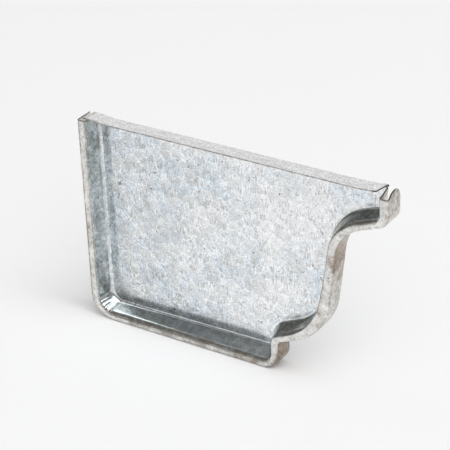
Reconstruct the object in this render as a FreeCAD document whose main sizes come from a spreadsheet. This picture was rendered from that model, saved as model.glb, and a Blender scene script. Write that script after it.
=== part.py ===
"""Left-hand end cap for a K-style rain gutter, pressed and folded from one galvanised steel sheet.

+X points to the front of the gutter, +Y into the gutter and +Z up. The cap stands on its base,
with the origin at the bottom centre of its box. A flat web closes the gutter. Round the back, the
base and the ogee front the sheet folds forward off the web, turns over a narrow rim and runs back
again as an outer wall, which leaves a groove for the gutter's end. A flange stiffens the top edge.
"""
import FreeCAD, Part
import math
import os

import Sketcher

# Driving sizes in millimetres: alias, value, meaning
SIZES = (
    ("sheet", 0.5, "thickness of the sheet"),
    ("cap_height", 87.0, "base to the top of the flange"),
    ("base_width", 85.8, "back face to the face of the foot"),
    ("foot_rise", 9.0, "web's bottom edge to the corner of the step"),
    ("step_run", 20.3, "corner of the step to the corner of the bulge, forward"),
    ("step_rise", 9.0, "corner of the step to the corner of the bulge, upward"),
    ("face_lean", 5.7, "corner of the bulge to the corner of the cove, forward"),
    ("cove_run", 19.7, "corner of the cove to the corner of the lip, forward"),
    ("cove_rise", 7.5, "corner of the cove to the corner of the lip, upward"),
    ("lip_rise", 9.1, "corner of the lip to the end of the rim, upward"),
    ("corner_radius", 3.5, "web's corner between the back and the base"),
    ("foot_radius", 0.4, "web's corner between the base and the foot"),
    ("bulge_radius", 18.2, "web's rounding at the bulge"),
    ("lip_radius", 0.4, "web's corner at the lip"),
    ("step_radius", 0.8, "outer wall's hollow at the step"),
    ("cove_radius", 14.7, "outer wall's hollow at the cove"),
    ("tray_depth", 7.1, "front of the rim to the front of the web"),
    ("wall_depth", 8.3, "front of the rim to the free edge of the outer wall"),
    ("rim_width", 3.5, "outer face to inner wall across the rim"),
    ("wall_lean", 2.0, "inner wall's slope inward, from the rim to the web"),
    ("rim_bend", 1.2, "outside radius of the two bends of the rim"),
    ("fold_radius", 1.0, "inside radius of the fold between the inner wall and the web"),
    ("lip_tab_radius", 3.5, "rounding of the outer wall's top back corner at the lip"),
    ("flange_bend", 1.0, "inside radius of the bend between the web and the top flange"),
    ("flange_setback", 0.3, "front of the rim to the front edge of the flange"),
    ("flange_gap", 0.3, "inner walls' faces to the ends of the flange"),
    ("flange_mitre_back", 0.5, "taper of the flange's end at the back"),
    ("flange_mitre_lip", 1.4, "taper of the flange's end at the lip"),
)

# Sizes that follow from the driving ones, as expressions on the sheet
EDGE = "(sizes.rim_width + sizes.wall_lean + sizes.fold_radius)"
RIM_END = "(sizes.cap_height - sizes.flange_bend - sizes.sheet)"
CAP_WIDTH = "(sizes.base_width + sizes.step_run + sizes.face_lean + sizes.cove_run)"
FLANGE_LENGTH = f"({CAP_WIDTH} - 2 * (sizes.rim_width + sizes.flange_gap))"

# Sketcher's own numbers: the points of an element, and the elements that stand for the axes
START, END, CENTRE = range(1, 4)
X_AXIS, Y_AXIS = range(-1, -3, -1)
ORIGIN = X_AXIS

# Points closer than this are the same point
NEAR = 1e-6


def fill_sheet(document):
    """Put the driving sizes into a spreadsheet, one aliased cell each."""
    sheet = document.addObject("Spreadsheet::Sheet", "sizes")
    for row, (alias, value, meaning) in enumerate(SIZES, start=1):
        sheet.set(f"A{row}", meaning)
        sheet.set(f"B{row}", str(value))
        sheet.setAlias(f"B{row}", alias)
    document.recompute()
    return sheet


def attached_sketch(body, plane_role, name, offset):
    """Sketch on one of the body's origin planes, moved along the plane's normal by an expression."""
    plane = next(item for item in body.Origin.OriginFeatures if item.Role == plane_role)
    sketch = body.newObject("Sketcher::SketchObject", name)
    sketch.AttachmentSupport = [(plane, "")]
    sketch.MapMode = "FlatFace"
    sketch.setExpression("AttachmentOffset.Base.z", offset)
    return sketch


def rounded_corner(before, corner, after, radius):
    """Tangent arc that rounds a corner, with the points where it leaves and meets the two sides."""
    into = (before - corner).normalize()
    out = (after - corner).normalize()
    half_angle = into.getAngle(out) / 2
    first = corner + into * (radius / math.tan(half_angle))
    last = corner + out * (radius / math.tan(half_angle))
    centre = corner + (into + out).normalize() * (radius / math.sin(half_angle))
    turns_left = (corner - before).cross(after - corner).z > 0
    begin, finish = (first, last) if turns_left else (last, first)
    angles = [math.atan2(point.y - centre.y, point.x - centre.x) for point in (begin, finish)]
    if angles[1] < angles[0]:
        angles[1] += 2 * math.pi
    circle = Part.Circle(centre, FreeCAD.Vector(0, 0, 1), radius)
    return first, last, Part.ArcOfCircle(circle, angles[0], angles[1])


def add_outline(sketch, corners):
    """Draw a closed outline of lines and tangent arcs.

    Each corner is (x, y, radius), with radius 0 for a sharp one. The result gives, for each corner,
    the index of its arc or None, and the index of the line that follows it or None where two arcs
    meet the same point.
    """
    points = [FreeCAD.Vector(x, y, 0) for x, y, _ in corners]
    ends = []
    for index, (_, _, radius) in enumerate(corners):
        before, corner, after = points[index - 1], points[index], points[(index + 1) % len(points)]
        ends.append(rounded_corner(before, corner, after, radius) if radius else (corner, corner, None))
    arcs, lines, run = [], [], []
    for index, (_, last, arc) in enumerate(ends):
        following = ends[(index + 1) % len(ends)][0]
        arcs.append(sketch.addGeometry(arc, False) if arc else None)
        drawn = last.distanceToPoint(following) > NEAR
        lines.append(sketch.addGeometry(Part.LineSegment(last, following), False) if drawn else None)
        run += [item for item in (arcs[-1], lines[-1]) if item is not None]
    for first, second in zip(run, run[1:] + run[:1]):
        join(sketch, first, second)
    return arcs, lines


def join(sketch, first, second):
    """Join two neighbours of an outline end to end, tangent where they already run on smoothly."""
    one, two = sketch.Geometry[first], sketch.Geometry[second]
    spots = [(a, b) for a in (START, END) for b in (START, END)]
    a, b = min(spots, key=lambda spot: end_point(one, spot[0]).distanceToPoint(end_point(two, spot[1])))
    turn = direction(one, a).cross(direction(two, b)).Length
    kind = "Tangent" if turn < NEAR else "Coincident"
    sketch.addConstraint(Sketcher.Constraint(kind, first, a, second, b))


def end_point(element, end):
    """Start or end point of a line or an arc."""
    return element.StartPoint if end == START else element.EndPoint


def direction(element, end):
    """Unit tangent of a line or an arc at one of its ends."""
    return element.tangent(element.FirstParameter if end == START else element.LastParameter)[0]


def corner_point(sketch, one, two, place):
    """Construction point where two sides of an outline would meet if their corner were sharp."""
    point = sketch.addGeometry(Part.Point(place), True)
    sketch.addConstraint(Sketcher.Constraint("PointOnObject", point, START, one))
    sketch.addConstraint(Sketcher.Constraint("PointOnObject", point, START, two))
    return point


def bind(sketch, name, expression, *constraint):
    """Add a named dimension to a sketch and bind it to an expression on the sheet."""
    index = sketch.addConstraint(Sketcher.Constraint(*constraint))
    sketch.renameConstraint(index, name)
    sketch.setExpression(f"Constraints.{name}", expression)


def draw_web_outline(sketch, size):
    """Outline of the flat web: back, base, foot, step, bulge, cove and lip, closed along the top."""
    edge = size["rim_width"] + size["wall_lean"] + size["fold_radius"]
    top = size["cap_height"] - size["flange_bend"] - size["sheet"]
    foot = size["base_width"] - edge
    step_z = edge + size["foot_rise"]
    bulge_x, bulge_z = foot + size["step_run"], step_z + size["step_rise"]
    lip_x = bulge_x + size["face_lean"] + size["cove_run"]
    lip_z = top - size["lip_rise"]
    cove_x, cove_z = bulge_x + size["face_lean"], lip_z - size["cove_rise"]
    corners = [
        (edge, top, 0),
        (edge, edge, size["corner_radius"]),
        (foot, edge, size["foot_radius"]),
        (foot, step_z, size["step_radius"] + edge),
        (bulge_x, bulge_z, size["bulge_radius"]),
        (cove_x, cove_z, size["cove_radius"] + edge),
        (lip_x, lip_z, size["lip_radius"]),
        (lip_x, top, 0),
    ]
    arcs, (back, base, foot_side, step, face, cove, lip, rim_end) = add_outline(sketch, corners)
    for line in (back, foot_side, lip):
        sketch.addConstraint(Sketcher.Constraint("Vertical", line))
    for line in (base, rim_end):
        sketch.addConstraint(Sketcher.Constraint("Horizontal", line))

    sharp = [FreeCAD.Vector(x, z, 0) for x, z, _ in corners]
    step_corner = corner_point(sketch, foot_side, step, sharp[3])
    bulge_corner = corner_point(sketch, step, face, sharp[4])
    cove_corner = corner_point(sketch, face, cove, sharp[5])
    lip_corner = corner_point(sketch, cove, lip, sharp[6])

    bind(sketch, "back_inset", EDGE, "DistanceX", ORIGIN, START, back, START, edge)
    bind(sketch, "base_inset", EDGE, "DistanceY", ORIGIN, START, base, START, edge)
    bind(sketch, "foot_place", f"sizes.base_width - {EDGE}",
         "DistanceX", ORIGIN, START, foot_side, START, foot)
    spans = (
        ("foot_rise", "DistanceY", base, END, step_corner),
        ("step_run", "DistanceX", step_corner, START, bulge_corner),
        ("step_rise", "DistanceY", step_corner, START, bulge_corner),
        ("face_lean", "DistanceX", bulge_corner, START, cove_corner),
        ("cove_run", "DistanceX", cove_corner, START, lip_corner),
        ("cove_rise", "DistanceY", cove_corner, START, lip_corner),
        ("lip_rise", "DistanceY", lip_corner, START, rim_end),
    )
    for name, kind, one, end, two in spans:
        bind(sketch, name, f"sizes.{name}", kind, one, end, two, START, size[name])
    bind(sketch, "rim_end", RIM_END, "DistanceY", ORIGIN, START, rim_end, START, top)

    radii = {
        "corner": "sizes.corner_radius",
        "foot": "sizes.foot_radius",
        "step": f"sizes.step_radius + {EDGE}",
        "bulge": "sizes.bulge_radius",
        "cove": f"sizes.cove_radius + {EDGE}",
        "lip": "sizes.lip_radius",
    }
    for (name, expression), arc, (_, _, radius) in zip(radii.items(), arcs[1:7], corners[1:7]):
        bind(sketch, f"{name}_radius", expression, "Radius", arc, radius)


def draw_channel_section(sketch, size):
    """Section of the folded edge, seen along the back: outer wall, rim, inner wall and fold."""
    sheet, width, bend = size["sheet"], size["rim_width"], size["rim_bend"]
    fold, depth, wall = size["fold_radius"], size["tray_depth"], size["wall_depth"]
    web_start = width + size["wall_lean"]
    edge = web_start + fold
    slope = math.atan2(size["wall_lean"], depth)
    back_shift = sheet * math.tan((math.pi / 2 - slope) / 2)
    corners = [
        (0, wall, 0),
        (0, 0, bend),
        (width, 0, bend),
        (web_start, depth, fold),
        (edge, depth, 0),
        (edge, depth + sheet, 0),
        (web_start - back_shift, depth + sheet, fold + sheet),
        (width - back_shift, sheet, bend - sheet),
        (sheet, sheet, bend - sheet),
        (sheet, wall, 0),
    ]
    arcs, lines = add_outline(sketch, corners)
    outer_face, rim_face, inner_face, web_front, web_end, web_back, _, rim_back, outer_back, free_edge = lines
    for line in (outer_face, web_end, outer_back):
        sketch.addConstraint(Sketcher.Constraint("Vertical", line))
    for line in (rim_face, web_front, web_back, rim_back, free_edge):
        sketch.addConstraint(Sketcher.Constraint("Horizontal", line))
    for inside, outside in ((arcs[8], arcs[1]), (arcs[7], arcs[2]), (arcs[6], arcs[3])):
        sketch.addConstraint(Sketcher.Constraint("Coincident", inside, CENTRE, outside, CENTRE))
    sketch.addConstraint(Sketcher.Constraint("Equal", arcs[1], arcs[2]))
    sketch.addConstraint(Sketcher.Constraint("PointOnObject", outer_face, START, Y_AXIS))
    sketch.addConstraint(Sketcher.Constraint("PointOnObject", rim_face, START, X_AXIS))

    rim_corner = corner_point(sketch, rim_face, inner_face, FreeCAD.Vector(width, 0, 0))
    fold_corner = corner_point(sketch, inner_face, web_front, FreeCAD.Vector(web_start, depth, 0))
    bind(sketch, "rim_width", "sizes.rim_width", "DistanceX", ORIGIN, START, rim_corner, START, width)
    bind(sketch, "wall_lean", "sizes.wall_lean",
         "DistanceX", rim_corner, START, fold_corner, START, size["wall_lean"])
    bind(sketch, "edge", EDGE, "DistanceX", ORIGIN, START, web_end, START, edge)
    bind(sketch, "tray_depth", "sizes.tray_depth", "DistanceY", ORIGIN, START, web_end, START, depth)
    bind(sketch, "wall_depth", "sizes.wall_depth", "DistanceY", ORIGIN, START, outer_face, START, wall)
    bind(sketch, "web_sheet", "sizes.sheet", "DistanceY", web_end, START, web_end, END, sheet)
    bind(sketch, "wall_sheet", "sizes.sheet", "DistanceX", free_edge, END, free_edge, START, sheet)
    bind(sketch, "rim_bend", "sizes.rim_bend", "Radius", arcs[1], bend)
    bind(sketch, "fold_radius", "sizes.fold_radius", "Radius", arcs[3], fold)


def draw_flange_section(sketch, size):
    """Section of the top flange across the cap: the bend off the web and the strip to the front."""
    sheet, bend, front = size["sheet"], size["flange_bend"], size["flange_setback"]
    top, depth = size["cap_height"], size["tray_depth"]
    corners = [
        (depth, top - sheet - bend, 0),
        (depth, top - sheet, bend),
        (front, top - sheet, 0),
        (front, top, 0),
        (depth + sheet, top, bend + sheet),
        (depth + sheet, top - sheet - bend, 0),
    ]
    arcs, lines = add_outline(sketch, corners)
    _, under_side, front_edge, upper_side, _, web_end = lines
    for line in (under_side, upper_side, web_end):
        sketch.addConstraint(Sketcher.Constraint("Horizontal", line))
    sketch.addConstraint(Sketcher.Constraint("Vertical", front_edge))
    sketch.addConstraint(Sketcher.Constraint("Coincident", arcs[1], CENTRE, arcs[4], CENTRE))
    sketch.addConstraint(Sketcher.Constraint("PointOnObject", arcs[1], CENTRE, web_end))
    bind(sketch, "sheet", "sizes.sheet", "DistanceY", front_edge, START, front_edge, END, sheet)
    bind(sketch, "flange_bend", "sizes.flange_bend", "Radius", arcs[1], bend)
    bind(sketch, "flange_setback", "sizes.flange_setback",
         "DistanceX", ORIGIN, START, front_edge, START, front)
    bind(sketch, "tray_depth", "sizes.tray_depth", "DistanceX", ORIGIN, START, web_end, END, depth)
    bind(sketch, "cap_height", "sizes.cap_height", "DistanceY", ORIGIN, START, upper_side, START, top)


def draw_flange_mitres(sketch, size, length):
    """Two slim triangles that taper the flange's ends towards its front edge, drawn from above."""
    back_end = size["rim_width"] + size["flange_gap"]
    front, bend_line = size["flange_setback"], size["tray_depth"] - size["flange_bend"]
    lip_end = f"sizes.rim_width + sizes.flange_gap + {FLANGE_LENGTH}"
    ends = (
        ("back", back_end, 1, "sizes.rim_width + sizes.flange_gap"),
        ("lip", back_end + length, -1, lip_end),
    )
    for name, place, inward, expression in ends:
        taper = size[f"flange_mitre_{name}"]
        corners = [(place, bend_line, 0), (place, front, 0), (place + inward * taper, front, 0)]
        _, (end_line, front_line, _) = add_outline(sketch, corners)
        sketch.addConstraint(Sketcher.Constraint("Vertical", end_line))
        sketch.addConstraint(Sketcher.Constraint("Horizontal", front_line))
        bind(sketch, f"{name}_end", expression, "DistanceX", ORIGIN, START, end_line, START, place)
        bind(sketch, f"{name}_front", "sizes.flange_setback",
             "DistanceY", ORIGIN, START, end_line, END, front)
        bind(sketch, f"{name}_bend_line", "sizes.tray_depth - sizes.flange_bend",
             "DistanceY", ORIGIN, START, end_line, START, bend_line)
        tips = (START, END) if inward > 0 else (END, START)
        bind(sketch, f"{name}_mitre", f"sizes.flange_mitre_{name}",
             "DistanceX", front_line, tips[0], front_line, tips[1], taper)


def edge_between(shape, one, two):
    """Name of the shape's edge that joins two points."""
    for number, edge in enumerate(shape.Edges, start=1):
        ends = [vertex.Point for vertex in edge.Vertexes]
        if len(ends) == 2 and any(
            ends[0].isEqual(a, NEAR) and ends[1].isEqual(b, NEAR) for a, b in ((one, two), (two, one))
        ):
            return f"Edge{number}"
    raise RuntimeError(f"no edge joins {one} and {two}")


def model_end_cap(document, size):
    """The whole cap as one folded body: web, swept edge channel, top flange and rounded lip tab."""
    body = document.addObject("PartDesign::Body", "end_cap")
    body.Label = "end_cap"
    rim_end = size["cap_height"] - size["flange_bend"] - size["sheet"]
    cap_width = size["base_width"] + size["step_run"] + size["face_lean"] + size["cove_run"]

    # The web, set back from the rim by the depth of the tray
    web_outline = attached_sketch(body, "XZ_Plane", "web_outline", "-sizes.tray_depth")
    draw_web_outline(web_outline, size)
    web = body.newObject("PartDesign::Pad", "web")
    web.Profile = web_outline
    web.Reversed = True
    web.setExpression("Length", "sizes.sheet")
    document.recompute()

    # The edge channel follows the web's outline, apart from its top
    channel_section = attached_sketch(body, "XY_Plane", "channel_section", RIM_END)
    draw_channel_section(channel_section, size)
    document.recompute()
    spine = [
        f"Edge{number}"
        for number, edge in enumerate(web_outline.Shape.Edges, start=1)
        if min(vertex.Z for vertex in edge.Vertexes) < rim_end - NEAR
    ]
    channel = body.newObject("PartDesign::AdditivePipe", "edge_channel")
    channel.Profile = channel_section
    channel.Spine = (web_outline, spine)
    document.recompute()

    # The flange along the top edge, bent forward off the web
    flange_section = attached_sketch(body, "YZ_Plane", "flange_section", "sizes.rim_width + sizes.flange_gap")
    draw_flange_section(flange_section, size)
    flange = body.newObject("PartDesign::Pad", "top_flange")
    flange.Profile = flange_section
    flange.setExpression("Length", FLANGE_LENGTH)
    document.recompute()

    flange_mitres = attached_sketch(body, "XY_Plane", "flange_mitres", "sizes.cap_height")
    draw_flange_mitres(flange_mitres, size, flange.Length.Value)
    mitre_cut = body.newObject("PartDesign::Pocket", "mitre_cut")
    mitre_cut.Profile = flange_mitres
    mitre_cut.setExpression("Length", "sizes.sheet")
    document.recompute()

    # The outer wall's top back corner at the lip is rounded off
    tab_corner = [
        FreeCAD.Vector(x, size["wall_depth"], rim_end) for x in (cap_width - size["sheet"], cap_width)
    ]
    lip_tab = body.newObject("PartDesign::Fillet", "lip_tab")
    lip_tab.Base = (mitre_cut, [edge_between(mitre_cut.Shape, *tab_corner)])
    lip_tab.setExpression("Radius", "sizes.lip_tab_radius")

    body.setExpression("Placement.Base.x", f"-{CAP_WIDTH} / 2")
    body.setExpression("Placement.Base.y", "-sizes.wall_depth / 2")
    document.recompute()
    return body


def check(document, bodies):
    """Stop if any object failed to recompute or a body isn't one valid solid."""
    failed = [item.Label for item in document.Objects if {"Invalid", "Error"} & set(item.State)]
    if failed:
        raise RuntimeError(f"failed to recompute: {failed}")
    for body in bodies:
        if body.Shape.isNull() or not body.Shape.isValid() or len(body.Shape.Solids) != 1:
            raise RuntimeError(f"{body.Label} isn't one valid solid")


def main():
    """Build the cap, check it and write its STEP file."""
    document = FreeCAD.newDocument("gutter_end_cap")
    sheet = fill_sheet(document)
    size = {alias: float(sheet.get(alias)) for alias, _, _ in SIZES}
    end_cap = model_end_cap(document, size)
    check(document, [end_cap])
    os.makedirs("parts", exist_ok=True)
    end_cap.Shape.exportStep(f"parts/{end_cap.Label}.step")


main()
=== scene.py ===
"""Gutter end cap, pressed and folded from one galvanised sheet, on a pale studio floor.

Lengths are in metres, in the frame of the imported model: +X points to the front of the gutter, +Y into the
gutter and +Z up. The cap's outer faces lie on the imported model's box, and everything else is measured from
them.
"""

import logging
import math
from collections.abc import Callable
from dataclasses import astuple, dataclass, field, replace
from enum import Enum, IntEnum

import bmesh
import bpy
from mathutils import Matrix, Vector, kdtree, noise

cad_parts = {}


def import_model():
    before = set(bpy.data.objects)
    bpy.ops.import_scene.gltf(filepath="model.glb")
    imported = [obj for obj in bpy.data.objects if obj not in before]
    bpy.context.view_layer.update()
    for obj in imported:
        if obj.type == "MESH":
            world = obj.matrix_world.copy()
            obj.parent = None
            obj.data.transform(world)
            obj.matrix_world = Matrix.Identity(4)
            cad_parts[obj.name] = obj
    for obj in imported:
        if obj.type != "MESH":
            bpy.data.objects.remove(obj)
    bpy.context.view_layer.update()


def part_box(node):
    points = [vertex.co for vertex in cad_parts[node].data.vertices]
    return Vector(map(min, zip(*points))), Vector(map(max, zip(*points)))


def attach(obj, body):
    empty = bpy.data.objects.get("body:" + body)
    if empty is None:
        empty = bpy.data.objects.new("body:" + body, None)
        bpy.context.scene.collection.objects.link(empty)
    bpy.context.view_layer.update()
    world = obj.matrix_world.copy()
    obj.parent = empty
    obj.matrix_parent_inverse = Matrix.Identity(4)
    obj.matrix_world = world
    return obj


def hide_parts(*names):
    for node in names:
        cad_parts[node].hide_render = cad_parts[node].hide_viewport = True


LOG = logging.getLogger("end_cap")
MM = 0.001
NEAR = 1e-6
SAME_PLACE = 1e-3
NODE = "end_cap"
PIECE = "folded_cap"

Colour = tuple[float, float, float]


class Layer(str, Enum):
    """Values that the sheet's points carry: places on the bend lines, how the press worked them, stains, dirt
    and painted shade.
    """

    STATION = "station"
    ALONG = "along"
    FLANGE = "flange"
    WORKED = "worked"
    # painted shade on the inner wall in the hollows and towards the edge's ends
    HOLLOW_SHADE = "hollow"
    # dirt, with painted shade along the folds and bends
    DIRT_AND_SHADE = "dirt_and_shade"
    STAINED = "stained"


class Leg(IntEnum):
    """The straight legs of the cap's outline, from the top of the back round to the top of the lip."""

    BACK = 0
    BASE = 1
    FOOT = 2
    STEP = 3
    FACE = 4
    COVE = 5
    LIP = 6

    @property
    def start(self) -> float:
        """The place on the outline where the leg starts."""
        return 2.0 * self

    @property
    def end(self) -> float:
        """The place on the outline where the leg ends and its corner starts."""
        return self.start + 1.0


class Station(IntEnum):
    """Where each stretch of the folded edge's section starts, from the outer wall's free edge to the web."""

    OUTER_WALL = 0
    OUTER_BEND = 1
    RIM = 2
    INNER_BEND = 3
    INNER_WALL = 4
    FOLD = 5
    WEB_EDGE = 6


class FlangeStation(IntEnum):
    """Where each stretch of the flange's section starts, from the web's top edge to its own front edge."""

    WEB_TOP = 0
    BEND = 1
    FLAT = 2


class Side(IntEnum):
    """The sheet's material slots."""

    FRONT = 0
    CUT = 1
    BACK = 2


def ease(low: float, high: float, value: float) -> float:
    """A smooth step: 0 up to low, 1 from high on."""
    share = min(1.0, max(0.0, (value - low) / (high - low)))
    return share * share * (3.0 - 2.0 * share)


def blend(first: float, last: float, share: float) -> float:
    """The value at a share of the way from first to last."""
    return first + (last - first) * share


def plateau(first: float, second: float, third: float, fourth: float, value: float) -> float:
    """A smooth hump: 0 up to first, 1 from second to third, and 0 again from fourth on."""
    return ease(first, second, value) * (1.0 - ease(third, fourth, value))


def near(value: float, centre: float, reach: float) -> float:
    """1 at a centre, falling smoothly to 0 at a reach from it."""
    return 1.0 - ease(0.0, reach, abs(value - centre))


@dataclass(frozen=True)
class Corner:
    """A corner of a bend line, and the radius that rounds it."""

    point: Vector
    radius: float = 0.0


@dataclass(frozen=True)
class Run:
    """A straight stretch of a bend line."""

    start: Vector
    end: Vector

    @property
    def length(self) -> float:
        """How long the stretch is."""
        return (self.end - self.start).length

    def at(self, share: float) -> tuple[Vector, Vector]:
        """The point at a share of the stretch, and the unit direction of travel there."""
        return self.start.lerp(self.end, share), (self.end - self.start).normalized()


@dataclass(frozen=True)
class Arc:
    """A round stretch of a bend line. A positive turn is to the left."""

    centre: Vector
    start: Vector
    turn: float

    def at(self, share: float) -> tuple[Vector, Vector]:
        """The point at a share of the stretch, and the unit direction of travel there.

        Args:
            share: the share, from 0 to 1.

        Returns:
            The point and the direction.
        """
        spoke = Matrix.Rotation(self.turn * share, 2) @ (self.start - self.centre)
        travel = Vector((-spoke.y, spoke.x)) * math.copysign(1.0, self.turn)
        return self.centre + spoke, travel.normalized()


class BendLine:
    """Straight runs joined by tangent arcs, in a plane.

    A place on the line is a number: its whole part counts the stretches that are passed, runs and arcs alike,
    and the rest is the share of the stretch that follows.
    """

    def __init__(self, corners: list[Corner]) -> None:
        """Rounds the corners between the first and the last.

        Args:
            corners: the line's two ends and the corners between them, in order.
        """
        self.stretches: list[Run | Arc] = []
        start = corners[0].point
        for before, corner, after in zip(corners, corners[1:], corners[2:]):
            into = (corner.point - before.point).normalized()
            out = (after.point - corner.point).normalized()
            turn = math.atan2(into.cross(out), into.dot(out))
            tangent = corner.radius * math.tan(abs(turn) / 2)
            first = corner.point - into * tangent
            centre = first + Vector((-into.y, into.x)) * math.copysign(corner.radius, turn)
            self.stretches += [Run(start, first), Arc(centre, first, turn)]
            start = corner.point + out * tangent
        self.stretches.append(Run(start, corners[-1].point))

    @property
    def last(self) -> float:
        """The place of the line's end."""
        return float(len(self.stretches))

    def at(self, place: float) -> tuple[Vector, Vector]:
        """The point at a place on the line, and the unit direction of travel there."""
        index = min(int(place), len(self.stretches) - 1)
        return self.stretches[index].at(place - index)


@dataclass(frozen=True)
class Plane:
    """Where a bend line's plane lies in the model."""

    origin: Vector
    across: Vector
    up: Vector

    @property
    def normal(self) -> Vector:
        """The axis that a left turn in the plane goes round."""
        return self.across.cross(self.up)

    def turned(self, flat: Vector) -> Vector:
        """A direction in the plane as one in the model."""
        return self.across * flat.x + self.up * flat.y

    def lifted(self, flat: Vector) -> Vector:
        """A point in the plane as one in the model."""
        return self.origin + self.turned(flat)


class SheetMesh:
    """A mesh that is drawn in edit mode: a point is traced into a section, and the section into a sheet."""

    def __init__(self, name: str, start: Vector) -> None:
        """Adds a small plane and merges it to one point.

        Args:
            name: the object's name.
            start: the point.
        """
        bpy.ops.object.select_all(action="DESELECT")
        bpy.ops.mesh.primitive_plane_add(size=MM, location=start)
        self.object = bpy.context.object
        self.object.name = self.object.data.name = name
        bpy.ops.object.transform_apply(location=True, rotation=True, scale=True)
        bpy.ops.object.mode_set(mode="EDIT")
        bpy.ops.mesh.select_mode(type="VERT")
        bpy.ops.mesh.select_all(action="SELECT")
        bpy.ops.mesh.merge(type="CENTER")
        for layer in Layer:
            self.points.verts.layers.float.new(layer.value)

    @property
    def points(self) -> bmesh.types.BMesh:
        """The mesh that is being edited."""
        return bmesh.from_edit_mesh(self.object.data)

    def layer(self, layer: Layer) -> bmesh.types.BMLayerItem:
        """The handle that reads and writes one of the points' values."""
        return self.points.verts.layers.float[layer.value]

    def show(self) -> None:
        """Makes Blender notice what code has moved or selected."""
        bmesh.update_edit_mesh(self.object.data)

    def pick(self, wanted: Callable[[bmesh.types.BMVert], bool]) -> None:
        """Selects the points that pass a test, and the edges between them.

        Args:
            wanted: the test.
        """
        bpy.ops.mesh.select_all(action="DESELECT")
        points = self.points
        for vert in points.verts:
            vert.select_set(wanted(vert))
        points.select_flush(True)
        self.show()

    def pick_faces(self, wanted: Callable[[bmesh.types.BMFace], bool]) -> None:
        """Selects the faces that pass a test, with their edges and points.

        Args:
            wanted: the test.
        """
        bpy.ops.mesh.select_all(action="DESELECT")
        for face in self.points.faces:
            if wanted(face):
                face.select_set(True)
        self.show()

    def mark(self, layer: Layer, value: float) -> None:
        """Writes one of the values on the selected points.

        Args:
            layer: the value that is written.
            value: what it is there.
        """
        handle = self.layer(layer)
        for vert in self.points.verts:
            if vert.select:
                vert[handle] = value

    def push(self, offset: Vector) -> None:
        """Extrudes the selection by an offset."""
        bpy.ops.mesh.extrude_region_move(TRANSFORM_OT_translate={"value": offset})

    def trace(
        self, line: BendLine, plane: Plane, layer: Layer, pitch: float, steps_of_arc: tuple[int, ...]
    ) -> None:
        """Sweeps the selection along a bend line, a short step at a time.

        Args:
            line: the line, which starts at the selection.
            plane: where the line's plane lies.
            layer: the value that takes each step's place on the line.
            pitch: the length of a step on a straight run.
            steps_of_arc: the number of steps on each arc, in order.
        """
        arcs = iter(steps_of_arc)
        for index, stretch in enumerate(line.stretches):
            if isinstance(stretch, Arc):
                steps = next(arcs)
                for step in range(steps):
                    # The operator turns clockwise about its axis
                    bpy.ops.mesh.spin(
                        steps=1,
                        angle=-stretch.turn / steps,
                        center=plane.lifted(stretch.centre),
                        axis=plane.normal,
                    )
                    self.mark(layer, index + (step + 1) / steps)
            elif stretch.length > NEAR:
                steps = max(1, round(stretch.length / pitch))
                for step in range(steps):
                    self.push(plane.turned(stretch.end - stretch.start) / steps)
                    self.mark(layer, index + (step + 1) / steps)

    def close(self) -> bpy.types.Object:
        """Leaves edit mode and returns the finished object."""
        bpy.ops.object.mode_set(mode="OBJECT")
        return self.object


@dataclass(frozen=True)
class Strike:
    """The folded edge's section as the die left it.

    The rim's width runs between its two sharp corners, the bends round them, the inner wall leans inward from
    the rim to the web, and the outer wall may stand in from the drawn outline.
    """

    rim: float
    outer_bend: float
    inner_bend: float
    lean: float
    inset: float = 0.0

    def towards(self, other: "Strike", share: float) -> "Strike":
        """The section at a share of the way to another."""
        return Strike(*(blend(mine, theirs, share) for mine, theirs in zip(astuple(self), astuple(other))))

    def wider(self, extra: float) -> "Strike":
        """The section with a wider rim and as much less lean, so that the web starts at the same place."""
        return replace(self, rim=self.rim + extra, lean=self.lean - extra)


@dataclass(frozen=True)
class Bulge:
    """A size that is steady along the outline, swells near one place and is steady again."""

    first: float
    peak: float
    last: float
    place: float
    before: float
    after: float

    def at(self, place: float) -> float:
        """The size at a place."""
        steady, reach = (self.first, self.before) if place < self.place else (self.last, self.after)
        return blend(self.peak, steady, ease(0.0, reach, abs(place - self.place)))


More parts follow.
